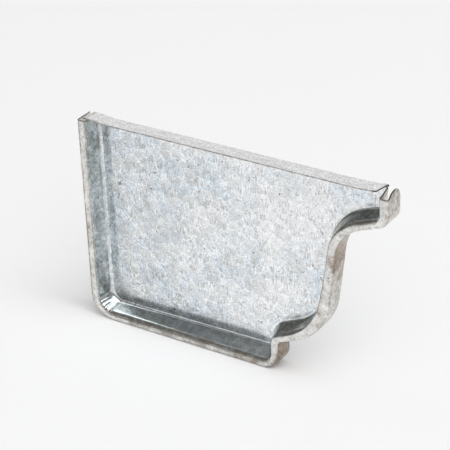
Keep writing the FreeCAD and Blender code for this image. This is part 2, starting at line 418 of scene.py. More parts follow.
@dataclass
class FoldedCap:
    """The whole cap: web, folded edge with its rim and outer wall, and top flange, as one bent sheet."""

    low: Vector
    high: Vector
    sheet: float = 0.5 * MM
    cut_edge_round: float = 0.05 * MM
    cut_edge_angle: float = math.radians(60.0)
    smooth_angle: float = math.radians(40.0)
    merge_gap: float = 0.01 * MM

    # The outline of the web, corner to corner, and its radii
    base_width: float = 85.8 * MM
    foot_rise: float = 9.0 * MM
    step_run: float = 20.3 * MM
    step_rise: float = 9.0 * MM
    face_lean: float = 5.7 * MM
    cove_rise: float = 7.5 * MM
    lip_rise: float = 9.1 * MM
    corner_radius: float = 3.5 * MM
    foot_radius: float = 0.4 * MM
    step_radius: float = 7.3 * MM
    bulge_radius: float = 18.2 * MM
    cove_radius: float = 21.2 * MM
    lip_radius: float = 0.4 * MM
    tightest_radius: float = 0.3 * MM

    # The section of the folded edge, as it was drawn
    edge: float = 6.5 * MM
    tray_depth: float = 7.1 * MM
    rim_width: float = 3.5 * MM
    wall_lean: float = 2.0 * MM
    rim_bend: float = 1.2 * MM
    fold_radius: float = 1.0 * MM

    # The flange along the top
    flange_bend: float = 1.0 * MM
    flange_setback: float = 0.3 * MM
    flange_gap: float = 0.3 * MM
    flange_mitre_back: float = -0.8 * MM
    flange_mitre_lip: float = 1.4 * MM
    flange_droop: float = 0.05 * MM
    flange_dirt: float = 2.0 * MM

    # The lip's outer wall rises to a rounded tab and flares a little, and its rim is notched
    tab_rise: float = 1.1 * MM
    tab_slope_end: float = 5.0 * MM
    tab_radius: float = 3.5 * MM
    lip_flare: float = 0.3 * MM
    lip_flare_span: tuple[float, float] = (-1.2, 0.6)
    lip_notch: float = 1.3 * MM
    lip_notch_end: float = 3.0 * MM

    # Crimps where the sheet was gathered round the back corner, and dents along the folds
    crimp_height: float = 0.13 * MM
    crimp_waves: float = 6.0
    dent_depth: float = 0.14 * MM
    dent_length: float = 2.8 * MM

    # The web's slight crown, which starts and is full at two distances from the back corner, and its waves
    web_crown: float = 0.58 * MM
    web_crown_reach: float = 9.0 * MM
    flat_corner: tuple[float, float] = (4.5 * MM, 12.0 * MM)
    web_wave: float = 0.07 * MM
    web_wave_length: float = 28.0 * MM
    web_wave_margin: float = 10.0 * MM

    # Steps of the mesh: their length on straight runs, and their number on each arc
    section_pitch: float = 0.75 * MM
    section_steps: tuple[int, ...] = (10, 9, 8)
    outline_pitch: float = 1.5 * MM
    outline_steps: tuple[int, ...] = (60, 22, 16, 16, 16, 18)
    flange_steps: tuple[int, ...] = (6,)
    web_pitch: float = 2.2 * MM

    # How the die struck the ends of each leg, how round it left the fold, and where it widened the rim
    strikes: dict[Leg, tuple[Strike, Strike]] = field(init=False)
    fold: Bulge = field(init=False)
    swell: Bulge = field(init=False)

    def __post_init__(self) -> None:
        """Fills in what the die did along the outline."""
        back = Strike(3.4 * MM, 1.1 * MM, 1.0 * MM, 1.8 * MM)
        foot = Strike(3.5 * MM, 1.2 * MM, 1.2 * MM, 2.0 * MM)
        step = Strike(3.1 * MM, 1.1 * MM, 1.7 * MM, 2.3 * MM, 1.2 * MM)
        cove = Strike(3.2 * MM, 1.1 * MM, 2.2 * MM, 2.1 * MM, 1.8 * MM)
        lip = Strike(4.1 * MM, 1.2 * MM, 1.2 * MM, 0.7 * MM)
        lip_top = Strike(4.1 * MM, 1.2 * MM, 1.0 * MM, 0.15 * MM)
        base_first = Strike(3.6 * MM, 1.0 * MM, 2.5 * MM, 1.2 * MM)
        base_last = Strike(3.5 * MM, 1.0 * MM, 1.9 * MM, 2.6 * MM)
        self.strikes = {
            Leg.BACK: (back, back),
            Leg.BASE: (base_first, base_last),
            Leg.FOOT: (foot, foot),
            Leg.STEP: (step, step),
            Leg.FACE: (foot, foot),
            Leg.COVE: (cove, cove),
            Leg.LIP: (lip, lip_top),
        }
        self.fold = Bulge(1.5 * MM, 2.3 * MM, self.fold_radius, Leg.BACK.end + 0.25, 0.4, 1.1)
        self.swell = Bulge(0.0, 1.2 * MM, 0.0, Leg.STEP.end + 0.65, 0.9, 1.0)

    @property
    def wall_depth(self) -> float:
        """Front of the rim to the free edge of the outer wall."""
        return self.high.y - self.low.y

    @property
    def rim_end(self) -> float:
        """Height of the folded edge's two ends, over the base."""
        return self.high.z - self.low.z - self.flange_bend - self.sheet

    @property
    def outline_plane(self) -> Plane:
        """The plane of the outline, from the back's outer face and the base."""
        return Plane(Vector((self.low.x, 0.0, self.low.z)), Vector((1, 0, 0)), Vector((0, 0, 1)))

    @property
    def section_plane(self) -> Plane:
        """The plane of the section, at the top of the back, from the outer face and the rim's front."""
        origin = Vector((self.low.x, self.low.y, self.low.z + self.rim_end))
        return Plane(origin, Vector((1, 0, 0)), Vector((0, 1, 0)))

    @property
    def flange_plane(self) -> Plane:
        """The plane of the flange's section, from the rim's front and the base."""
        return Plane(Vector((self.low.x, self.low.y, self.low.z)), Vector((0, 1, 0)), Vector((0, 0, 1)))

    def web_corners(self) -> list[Corner]:
        """The web's outline as drawn.

        Returns:
            Its corners, from the top of the back to the top of the lip.
        """
        foot = self.base_width - self.edge
        step_z = self.edge + self.foot_rise
        bulge = Vector((foot + self.step_run, step_z + self.step_rise))
        lip = Vector((self.high.x - self.low.x - self.edge, self.rim_end - self.lip_rise))
        return [
            Corner(Vector((self.edge, self.rim_end))),
            Corner(Vector((self.edge, self.edge)), self.corner_radius),
            Corner(Vector((foot, self.edge)), self.foot_radius),
            Corner(Vector((foot, step_z)), self.step_radius),
            Corner(bulge, self.bulge_radius),
            Corner(Vector((bulge.x + self.face_lean, lip.y - self.cove_rise)), self.cove_radius),
            Corner(lip, self.lip_radius),
            Corner(Vector((lip.x, self.rim_end))),
        ]

    def section(self, strike: Strike, fold: float) -> BendLine:
        """The visible face across the folded edge: outer wall, rim, inner wall and fold, to the web.

        Args:
            strike: the sizes of the rim and the inner wall.
            fold: the inside radius between the inner wall and the web.

        Returns:
            The line, with the inset from the outer face across and the depth from the rim's front up.
        """
        rim_start = strike.inset
        rim_end = rim_start + strike.rim
        web_start = rim_end + strike.lean
        return BendLine([
            Corner(Vector((rim_start, self.wall_depth))),
            Corner(Vector((rim_start, 0.0)), strike.outer_bend),
            Corner(Vector((rim_end, 0.0)), strike.inner_bend),
            Corner(Vector((web_start, self.tray_depth)), fold),
            Corner(Vector((web_start + fold, self.tray_depth))),
        ])

    def station_line(self, station: float) -> BendLine:
        """The line that one point of the section follows round the cap, set in as far as each leg was struck.

        Args:
            station: the point's place on the section.

        Returns:
            The line, in the plane of the outline.
        """
        corners = self.web_corners()
        sides: list[tuple[Vector, Vector]] = []
        insets: list[tuple[float, float]] = []
        for leg in Leg:
            first, last = (
                self.section(strike, self.fold_radius).at(station)[0].x for strike in self.strikes[leg]
            )
            start, end = corners[leg].point, corners[leg + 1].point
            travel = (end - start).normalized()
            inward = Vector((-travel.y, travel.x))
            sides.append((start + inward * (first - self.edge), end + inward * (last - self.edge)))
            insets.append((first, last))
        line = [Corner(sides[0][0])]
        for leg, corner in zip(Leg, corners[1:-1]):
            point = meeting_point(*sides[leg], *sides[leg + 1])
            inset = (insets[leg][1] + insets[leg + 1][0]) / 2
            hollow = is_hollow(corners[leg].point, corner.point, corners[leg + 2].point)
            radius = corner.radius + (inset - self.edge if hollow else self.edge - inset)
            line.append(Corner(point, max(radius, self.tightest_radius)))
        line.append(Corner(sides[-1][1]))
        return BendLine(line)

    def strike_at(self, place: float) -> Strike:
        """The section's sizes at a place on the outline.

        Args:
            place: the place, on a leg or on the corner after it.

        Returns:
            The sizes, blended between the ends of the leg or of the corner.
        """
        index = min(int(place), 2 * Leg.LIP)
        leg = Leg(index // 2)
        first, last = self.strikes[leg]
        if index % 2 == 1:
            first, last = last, self.strikes[Leg(leg + 1)][0]
        return first.towards(last, place - index)

    def build(self) -> bpy.types.Object:
        """Models the cap.

        Returns:
            The finished piece, with no material yet.
        """
        sizes = Strike(self.rim_width, self.rim_bend, self.rim_bend, self.wall_lean)
        drawn = self.section(sizes, self.fold_radius)
        mesh = SheetMesh(PIECE, self.section_plane.lifted(drawn.at(0.0)[0]))
        mesh.trace(drawn, self.section_plane, Layer.STATION, self.section_pitch, self.section_steps)
        bpy.ops.mesh.select_all(action="SELECT")
        outline = BendLine(self.web_corners())
        mesh.trace(outline, self.outline_plane, Layer.ALONG, self.outline_pitch, self.outline_steps)
        self.strike_edge(mesh)
        self.fill_web(mesh, drawn.last)
        self.turn_flange(mesh, drawn.last)
        self.mark_worked(mesh)
        piece = mesh.close()
        self.thicken(piece)
        return piece

    def strike_edge(self, mesh: SheetMesh) -> None:
        """Presses the swept edge to the die's true sections, crimps, dents, flare and tab.

        Args:
            mesh: the swept edge.
        """
        station, along = mesh.layer(Layer.STATION), mesh.layer(Layer.ALONG)
        lines: dict[float, BendLine] = {}
        for vert in mesh.points.verts:
            across, place = vert[station], vert[along]
            key = round(across, 4)
            if key not in lines:
                lines[key] = self.station_line(across)
            point, travel = lines[key].at(place)
            strike = self.strike_at(place)
            steady = self.section(strike, self.fold_radius).at(across)[0]
            struck = self.section(strike.wider(self.swell.at(place)), self.fold.at(place)).at(across)[0]
            push = struck.x - steady.x + self.crimp(across, place) + self.dent(across, place, point)
            spot = self.outline_plane.lifted(point + Vector((-travel.y, travel.x)) * push)
            spot.y = self.low.y + struck.y
            vert.co = spot + self.tab_shift(struck, place, across)
        mesh.show()

    def crimp(self, across: float, place: float) -> float:
        """The waves of the gathered sheet round the back corner.

        Args:
            across: the place on the section.
            place: the place on the outline.

        Returns:
            How far the sheet stands in from its line.
        """
        share = place - Leg.BACK.end
        if not 0.0 < share < 1.0:
            return 0.0
        round_corner = plateau(0.2, 0.45, 0.72, 0.95, share)
        down_wall = plateau(
            Station.RIM + 0.6, Station.INNER_BEND + 0.6, Station.INNER_WALL + 0.2, Station.FOLD + 0.2, across
        )
        wave = math.sin(2.0 * math.pi * self.crimp_waves * share)
        return self.crimp_height * round_corner * down_wall * wave

    def dent(self, across: float, place: float, point: Vector) -> float:
        """Small dents in the inner wall and its fold, deepest along the back.

        Args:
            across: the place on the section.
            place: the place on the outline.
            point: the point there, in the plane of the outline.

        Returns:
            How far the sheet is pushed in from its line.
        """
        down_wall = ease(Station.INNER_BEND + 0.4, Station.INNER_WALL + 0.2, across)
        down_wall *= 1.0 - ease(Station.WEB_EDGE, Station.WEB_EDGE + 0.8, across)
        along = 1.0 - 0.7 * ease(Leg.BACK.end - 0.2, Leg.BACK.end, place)
        spot = Vector((point.x, point.y, 0.0)) / self.dent_length + Vector((0.0, 0.0, across * 1.4))
        return self.dent_depth * down_wall * along * noise.noise(spot)

    def tab_shift(self, struck: Vector, place: float, across: float) -> Vector:
        """How far the lip's top is drawn up into its tab, down into its notch and out into its flare.

        Args:
            struck: the point on the section, as inset and depth.
            place: the point's place on the outline.
            across: the point's place on the section.

        Returns:
            The shift in the model's space.
        """
        share = place - Leg.LIP.start
        depth = struck.y
        if across > Station.RIM:
            drop = self.lip_notch * (1.0 - ease(0.0, self.tray_depth, depth))
            return Vector((0.0, 0.0, -drop * max(0.0, share)))
        rise = self.tab_rise * ease(0.0, self.tab_slope_end, depth)
        rise -= self.lip_notch * (1.0 - ease(0.0, self.lip_notch_end, depth))
        past = depth - (self.wall_depth - self.tab_radius)
        if past > 0.0:
            rise -= self.tab_radius - math.sqrt(max(0.0, self.tab_radius**2 - past**2))
        flare = self.lip_flare * (ease(0.0, self.wall_depth, depth) - 1.0) * ease(*self.lip_flare_span, share)
        return Vector((flare, 0.0, rise * max(0.0, share)))

    def pick_web_edge(self, mesh: SheetMesh, web: float, top_only: bool) -> None:
        """Selects the points where the web starts.

        Args:
            mesh: the folded edge, with or without its web.
            web: the place on the section where the web starts.
            top_only: whether only the points at the height of the folded edge's ends are wanted.
        """
        station = mesh.layer(Layer.STATION)
        lowest = self.low.z + self.rim_end - NEAR if top_only else self.low.z
        mesh.pick(lambda vert: vert[station] > web - SAME_PLACE and vert.co.z > lowest)

    def fill_web(self, mesh: SheetMesh, web: float) -> None:
        """Fills the web inside the folded edge, cuts it into a grid and crowns it.

        Args:
            mesh: the folded edge.
            web: the place on the section where the web starts.
        """
        for top_only in (True, False):
            self.pick_web_edge(mesh, web, top_only)
            bpy.ops.mesh.edge_face_add()
        points = mesh.points
        in_web = points.faces.layers.int.new("web")
        for face in points.faces:
            face[in_web] = face.select
        top = self.low.z + self.rim_end
        for axis, first, last in ((0, self.low.x, self.high.x), (2, self.low.z, top)):
            normal = Vector([1.0 if index == axis else 0.0 for index in range(3)])
            for step in range(1, math.ceil((last - first) / self.web_pitch)):
                mesh.pick_faces(lambda face: face[in_web])
                bpy.ops.mesh.bisect(plane_co=normal * (first + step * self.web_pitch), plane_no=normal)
        self.crown_web(mesh, in_web)

    def crown_web(self, mesh: SheetMesh, in_web: bmesh.types.BMLayerItem) -> None:
        """Lets the web stand slightly forward inside its outline, and wave a little.

        Args:
            mesh: the folded edge and the web.
            in_web: the handle of the value that is 1 on the web's faces.
        """
        points = mesh.points
        touching = [vert for vert in points.verts if any(face[in_web] for face in vert.link_faces)]
        folds = {vert for vert in touching if any(not face[in_web] for face in vert.link_faces)}
        tree = kdtree.KDTree(len(folds))
        for index, vert in enumerate(folds):
            tree.insert(vert.co, index)
        tree.balance()
        corner = Vector((self.low.x + self.edge, self.low.z + self.edge))
        for vert in touching:
            if vert in folds:
                continue
            gap = tree.find(vert.co)[2]
            rise = 1.0 - (1.0 - min(1.0, gap / self.web_crown_reach)) ** 2
            rise *= ease(*self.flat_corner, (vert.co.xz - corner).length)
            wave = noise.noise(vert.co / self.web_wave_length) * ease(0.0, self.web_wave_margin, gap)
            vert.co.y += self.web_wave * wave - self.web_crown * rise
        mesh.show()

    def turn_flange(self, mesh: SheetMesh, web: float) -> None:
        """Turns the flange forward off the web's top edge and mitres its ends.

        Args:
            mesh: the folded edge and the web.
            web: the place on the section where the web starts.
        """
        line = BendLine([
            Corner(Vector((self.tray_depth, self.rim_end))),
            Corner(Vector((self.tray_depth, self.rim_end + self.flange_bend)), self.flange_bend),
            Corner(Vector((self.flange_setback, self.rim_end + self.flange_bend))),
        ])
        self.pick_web_edge(mesh, web, top_only=True)
        mesh.trace(line, self.flange_plane, Layer.FLANGE, self.outline_pitch, self.flange_steps)
        flange = mesh.layer(Layer.FLANGE)
        past_web = FlangeStation.BEND + 0.1
        ends = [vert.co.x for vert in mesh.points.verts if vert[flange] > past_web]
        inset = self.rim_width + self.flange_gap
        targets = (
            (min(ends), self.low.x + inset, self.flange_mitre_back),
            (max(ends), self.high.x - inset, -self.flange_mitre_lip),
        )
        for found, wanted, mitre in targets:
            mesh.pick(lambda vert: vert[flange] > past_web and abs(vert.co.x - found) < NEAR)
            mesh.push(Vector((wanted - found, 0.0, 0.0)))
            self.mitre_end(mesh, mitre)
        for vert in mesh.points.verts:
            share = max(0.0, vert[flange] - FlangeStation.FLAT)
            vert.co.z -= self.flange_droop * share * share
        mesh.show()

    def mitre_end(self, mesh: SheetMesh, mitre: float) -> None:
        """Tapers the selected end of the flange towards its front edge.

        Args:
            mesh: the sheet.
            mitre: how far the front edge is moved along +X.
        """
        flange = mesh.layer(Layer.FLANGE)
        for vert in mesh.points.verts:
            if vert.select:
                vert.co.x += mitre * max(0.0, vert[flange] - FlangeStation.FLAT)
        mesh.show()

    def mark_worked(self, mesh: SheetMesh) -> None:
        """Notes on each point how the press worked the sheet, and where stains, dirt and painted shade lie on
        it.

        Args:
            mesh: the whole bent sheet.
        """
        station, along, flange, worked, hollow, dirt_and_shade, stained = (mesh.layer(layer) for layer in Layer)
        points = mesh.points
        flange_places = [vert.co.x for vert in points.verts if vert[flange] > FlangeStation.FLAT]
        flange_ends = (min(flange_places), max(flange_places))
        for vert in points.verts:
            across, place = vert[station], vert[along]
            if vert[flange] > FlangeStation.WEB_TOP + 0.5:
                on_flat = ease(FlangeStation.BEND + 0.4, FlangeStation.FLAT, vert[flange])
                # the bend gets a lower value, which paints shade on it
                vert[worked] = -1.0 - 0.5 * (1.0 - on_flat)
                at_end = min(abs(vert.co.x - end) for end in flange_ends) < self.flange_dirt
                # dirt and painted shade at the flange's cut ends
                vert[dirt_and_shade] = 1.0 if at_end and vert.is_boundary else 0.0
                continue
            vert[worked] = self.worked_at(across)
            down_wall = ease(Station.INNER_BEND + 0.1, Station.INNER_BEND + 0.7, across)
            down_wall *= 1.0 - ease(Station.FOLD + 0.3, Station.WEB_EDGE + 0.2, across)
            # painted shade in the hollows, lifted along the step's painted highlight
            vert[hollow] = self.hollow_shade_at(place) * down_wall * (1.0 - self.step_highlight_at(across, place))
            past_bend = ease(Station.OUTER_BEND + 0.2, Station.OUTER_BEND + 0.8, across)
            vert[stained] = self.stained_at(place) * (1.0 - 0.85 * past_bend)
            cut_end = place < SAME_PLACE or place > Leg.LIP.end - SAME_PLACE
            vert[dirt_and_shade] = 1.0 if cut_end and across < Station.WEB_EDGE else self.dirt_and_shade_at(across, place)
        mesh.show()

    @staticmethod
    def worked_at(across: float) -> float:
        """How hard the press worked the sheet.

        Args:
            across: the place on the section.

        Returns:
            1 on the outer wall, 0.8 on the rim, 0.5 on the inner wall and 0 on the web.
        """
        to_rim = 0.2 * ease(Station.OUTER_BEND - 0.1, Station.RIM, across)
        to_wall = 0.3 * ease(Station.INNER_BEND, Station.INNER_BEND + 0.9, across)
        to_web = 0.5 * ease(Station.FOLD, Station.WEB_EDGE + 0.4, across)
        return 1.0 - to_rim - to_wall - to_web

    def dirt_and_shade_at(self, across: float, place: float) -> float:
        """How much dirt and painted shade darken a place: along the bends, in the hollows' folds and on the
        base's rim.

        Args:
            across: the place on the section.
            place: the place on the outline.

        Returns:
            0 where nothing darkens the sheet, and 1 or more where it is darkest.
        """
        on_back = 1.0 - ease(Leg.BACK.end, Leg.BASE.start, place)
        on_base = plateau(Leg.BASE.start - 0.4, Leg.BASE.start, Leg.BASE.end, Leg.FOOT.start, place)
        on_foot = plateau(Leg.BASE.end, Leg.BASE.end + 0.2, Leg.FOOT.start, Leg.FOOT.end, place)
        past_corner = ease(Leg.BASE.start + 0.05, Leg.BASE.start + 0.35, place)
        # dark lines along the outer bends: partly dirt, partly painted shade
        faint_bend = 0.5 * near(across, Station.OUTER_BEND + 0.4, 0.3)
        dark_bend = 1.2 * near(across, Station.OUTER_BEND + 0.7, 0.65)
        outer_bend = blend(faint_bend, dark_bend, max(on_back, on_foot))
        inner_bend = 0.9 * near(across, Station.INNER_BEND + 0.55, 0.4)
        # painted shade in the hollows' folds
        folds = 0.9 * near(across, Station.WEB_EDGE + 0.3, 1.0) * self.hollow_shade_at(place)
        # painted shade: a dark band on the web along the back's fold
        back_fold = 0.75 * near(across, Station.FOLD + 0.05, 0.45) * (1.0 - ease(0.1, 0.9, place))
        on_rim = ease(Station.OUTER_BEND + 0.5, Station.OUTER_BEND + 0.8, across)
        on_rim *= 1.0 - ease(Station.INNER_BEND + 0.3, Station.INNER_BEND + 0.6, across)
        # on the base: dirt on the rim, and painted shade in dark lines along its bends and fold
        base = max(
            1.6 * near(across, Station.OUTER_BEND + 0.4, 0.4),
            1.6 * near(across, Station.INNER_BEND + 0.2, 0.17),
            0.85 * near(across, Station.INNER_BEND + 0.8, 0.3) * past_corner,
            0.63 * on_rim,
            0.8 * near(across, Station.FOLD, 0.2),
            0.8 * near(across, Station.WEB_EDGE + 0.1, 0.3),
        )
        return max(outer_bend, inner_bend, folds, back_fold, on_base * base)

    @staticmethod
    def step_highlight_at(across: float, place: float) -> float:
        """How far a painted highlight along the foot of the step's inner wall lifts the painted shade there.

        Args:
            across: the place on the section.
            place: the place on the outline.

        Returns:
            0 where there is no highlight, up to 0.9 along its middle.
        """
        step = Leg.STEP
        along_step = plateau(step.start - 0.2, step.start + 0.5, step.end + 0.4, Leg.FACE.start, place)
        # a painted highlight along the foot of the step's inner wall
        return 0.9 * along_step * near(across, Station.INNER_WALL + 0.125, 0.12)

    @staticmethod
    def hollow_shade_at(place: float) -> float:
        """How much painted shade darkens the inner wall: in the step's and cove's hollows and towards the
        edge's ends.

        Args:
            place: the place on the outline.

        Returns:
            0 where no shade is painted, up to 1 where the painted shade is darkest.
        """
        # painted shade: the step's and cove's hollows and the edge's two ends
        top = 0.4 * (1.0 - ease(0.0, 0.45, place))
        step = plateau(Leg.STEP.start - 0.8, Leg.STEP.start, Leg.STEP.end + 0.7, Leg.FACE.start + 0.1, place)
        cove = plateau(Leg.FACE.end - 0.1, Leg.FACE.end + 0.25, Leg.COVE.end, Leg.COVE.end + 0.4, place)
        lip = ease(Leg.LIP.start + 0.2, Leg.LIP.end, place)
        return max(top, step, cove, lip)

    @staticmethod
    def stained_at(place: float) -> float:
        """How stained the outer wall is: most on the foot, then high on the face.

        Args:
            place: the place on the outline.

        Returns:
            0 where it is clean, up to 1.
        """
        foot = plateau(Leg.BASE.end, Leg.FOOT.start, Leg.FOOT.end, Leg.STEP.start, place)
        face = 0.55 * plateau(Leg.FACE.start, Leg.FACE.end, Leg.FACE.end + 0.3, Leg.COVE.start, place)
        lip = 0.12 * ease(Leg.COVE.end, Leg.LIP.start, place)
        return max(foot, face, lip)

    def thicken(self, piece: bpy.types.Object) -> None:
        """Gives the bent face the sheet's thickness behind it, with faces for its cut edges.

        Args:
            piece: the bent face.
        """
        bpy.ops.object.mode_set(mode="EDIT")
        bpy.ops.mesh.select_all(action="SELECT")
        bpy.ops.mesh.remove_doubles(threshold=self.merge_gap)
        bpy.ops.mesh.normals_make_consistent(inside=False)
        points = bmesh.from_edit_mesh(piece.data)
        if sum(face.normal.y * face.calc_area() for face in points.faces) > 0.0:
            bpy.ops.mesh.flip_normals()
        bpy.ops.object.mode_set(mode="OBJECT")
        for _ in Side:
            bpy.ops.object.material_slot_add()
        wall = piece.modifiers.new("sheet", "SOLIDIFY")
        wall.thickness = self.sheet
        wall.offset = -1.0
        wall.use_even_offset = True
        wall.use_quality_normals = True
        wall.material_offset = Side.BACK
        wall.material_offset_rim = Side.CUT
        softened = piece.modifiers.new("cut_edges", "BEVEL")
        softened.width = self.cut_edge_round
        softened.segments = 1
        softened.limit_method = "ANGLE"
        softened.angle_limit = self.cut_edge_angle
        for name in ("sheet", "cut_edges"):
            bpy.ops.object.modifier_apply(modifier=name)
        bpy.ops.object.shade_smooth_by_angle(angle=self.smooth_angle)

    def dress(self, piece: bpy.types.Object, finishes: dict[Side, bpy.types.Material]) -> None:
        """Gives the sheet's faces and its cut edges their finishes.

        Args:
            piece: the cap.
            finishes: the material of each side.
        """
        for side, material in finishes.items():
            piece.material_slots[side].material = material
            faces = sum(polygon.material_index == side for polygon in piece.data.polygons)
            LOG.info("%s: %d faces of %s", piece.name, faces, material.name)


def meeting_point(first: Vector, second: Vector, third: Vector, fourth: Vector) -> Vector:
    """Where the line through the first two points meets the line through the other two."""
    along, other = second - first, fourth - third
    return first + along * ((third - first).cross(other) / along.cross(other))


def is_hollow(before: Vector, corner: Vector, after: Vector) -> bool:
    """Whether the outline turns right at a corner, so that the web is hollowed there."""
    return (corner - before).cross(after - corner) < 0.0


class Graph:
    """A shader tree that is being drawn."""

    def __init__(self, owner: bpy.types.Material | bpy.types.World) -> None:
        """Clears the owner's tree.

        Args:
            owner: the material or world that the tree belongs to.
        """
        owner.use_nodes = True
        self.tree = owner.node_tree
        self.tree.nodes.clear()

    def node(
        self,
        kind: str,
        output: str | int | None,
        settings: dict[str, object] | None = None,
        sockets: dict[str | int, object] | None = None,
    ) -> "Term":
        """Adds a node.

        Args:
            kind: the node's type.
            output: the name or number of the output that is wanted, or None where it has none.
            settings: the node's own properties.
            sockets: a value or a term for each input that is set, by its name or number.

        Returns:
            The wanted output.
        """
        node = self.tree.nodes.new(kind)
        for name, value in (settings or {}).items():
            setattr(node, name, value)
        for name, value in (sockets or {}).items():
            if isinstance(value, Term):
                self.tree.links.new(value.socket, node.inputs[name])
            else:
                node.inputs[name].default_value = value
        return Term(self, None if output is None else node.outputs[output])

    def surface(self, sockets: dict[str, object]) -> None:
        """Ends a material's tree with a Principled shader."""
        shader = self.node("ShaderNodeBsdfPrincipled", 0, None, sockets)
        self.node("ShaderNodeOutputMaterial", None, None, {"Surface": shader})

    def carried(self, layer: Layer) -> "Term":
        """One of the values that the sheet's points carry."""
        return self.node("ShaderNodeAttribute", "Fac", {"attribute_name": layer.value})

    def noise(self, place: "Term", scale: float, detail: float, roughness: float) -> "Term":
        """Cloudy noise from 0 to 1."""
        sockets = {"Vector": place, "Scale": scale, "Detail": detail, "Roughness": roughness}
        return self.node("ShaderNodeTexNoise", "Fac", None, sockets)

    def cells(self, place: "Term", scale: float, output: str, feature: str = "F1") -> "Term":
        """Random cells, by their colours or by the distance from their hearts or borders."""
        sockets = {"Vector": place, "Scale": scale}
        return self.node("ShaderNodeTexVoronoi", output, {"feature": feature}, sockets)

    def parts(self, colour: "Term") -> tuple["Term", "Term", "Term"]:
        """A colour's red, green and blue."""
        red = self.node("ShaderNodeSeparateColor", 0, None, {0: colour})
        return red, red.also(1), red.also(2)

    def mixed(self, share: object, first: object, second: object) -> "Term":
        """A colour between two, by a share from 0 to 1."""
        sockets = {MixSocket.SHARE: share, MixSocket.FIRST: opaque(first), MixSocket.SECOND: opaque(second)}
        return self.node("ShaderNodeMix", MixSocket.RESULT, {"data_type": "RGBA"}, sockets)

    def toned(self, tint: object, tone: "Term") -> "Term":
        """A colour made lighter or darker by a factor."""
        return self.node("ShaderNodeVectorMath", 0, {"operation": "SCALE"}, {0: tint, "Scale": tone})

    def vectors(self, operation: str, first: object, second: object, output: str = "Vector") -> "Term":
        """A Vector Math node on two values or terms."""
        return self.node("ShaderNodeVectorMath", output, {"operation": operation}, {0: first, 1: second})

    def scaled(self, vector: object, factors: Colour) -> "Term":
        """A vector with each part multiplied."""
        return self.vectors("MULTIPLY", vector, factors)

    def shifted(self, vector: object, offset: object) -> "Term":
        """A vector with another added."""
        return self.vectors("ADD", vector, offset)


class MixSocket(IntEnum):
    """The numbers of a Mix node's sockets when it mixes colours."""

    SHARE = 0
    RESULT = 2
    FIRST = 6
    SECOND = 7


def opaque(colour: object) -> object:
    """A colour with full alpha, or a term as it is."""
    return (*colour, 1.0) if isinstance(colour, tuple) else colour


@dataclass(frozen=True)
class Term:
    """An output of a shader tree. Arithmetic on it adds Math nodes."""

    graph: Graph
    socket: bpy.types.NodeSocket | None

    def math(self, operation: str, first: object, second: object) -> "Term":
        """A Math node on two values or terms."""
        return self.graph.node("ShaderNodeMath", 0, {"operation": operation}, {0: first, 1: second})

    def __add__(self, other: object) -> "Term":
        """self + other"""
        return self.math("ADD", self, other)

    def __radd__(self, other: object) -> "Term":
        """other + self"""
        return self.math("ADD", other, self)

    def __sub__(self, other: object) -> "Term":
        """self - other"""
        return self.math("SUBTRACT", self, other)

    def __rsub__(self, other: object) -> "Term":
        """other - self"""
        return self.math("SUBTRACT", other, self)

    def __mul__(self, other: object) -> "Term":
        """self * other"""
        return self.math("MULTIPLY", self, other)

    def __rmul__(self, other: object) -> "Term":
        """other * self"""
        return self.math("MULTIPLY", other, self)

    def also(self, output: str | int) -> "Term":
        """Another output of the same node."""
        return Term(self.graph, self.socket.node.outputs[output])

    def eased(self, low: float, high: float) -> "Term":
        """A smooth step from 0 at low to 1 at high."""
        sockets = {"Value": self, "From Min": low, "From Max": high}
        return self.graph.node("ShaderNodeMapRange", 0, {"interpolation_type": "SMOOTHSTEP"}, sockets)


@dataclass(frozen=True)
class Patterns:
    """What a finish is mixed from: two of the cap's coordinates, zinc and dirt patterns, and painted crystal
    highlights.
    """

    across: Term
    height: Term
    crystal_tone: Term
    crystal_tint: Term
    # signed: a painted highlight on one side of each crystal and painted shade on the other
    crystal_side_light: Term
    chip_tone: Term
    clouds: Term
    mottle: Term
    grain: Term
    hatched: Term
    frost: Term
    pitted: Term
    streaks: Term
    blotches: Term
    speckle: Term
    dirt: Term


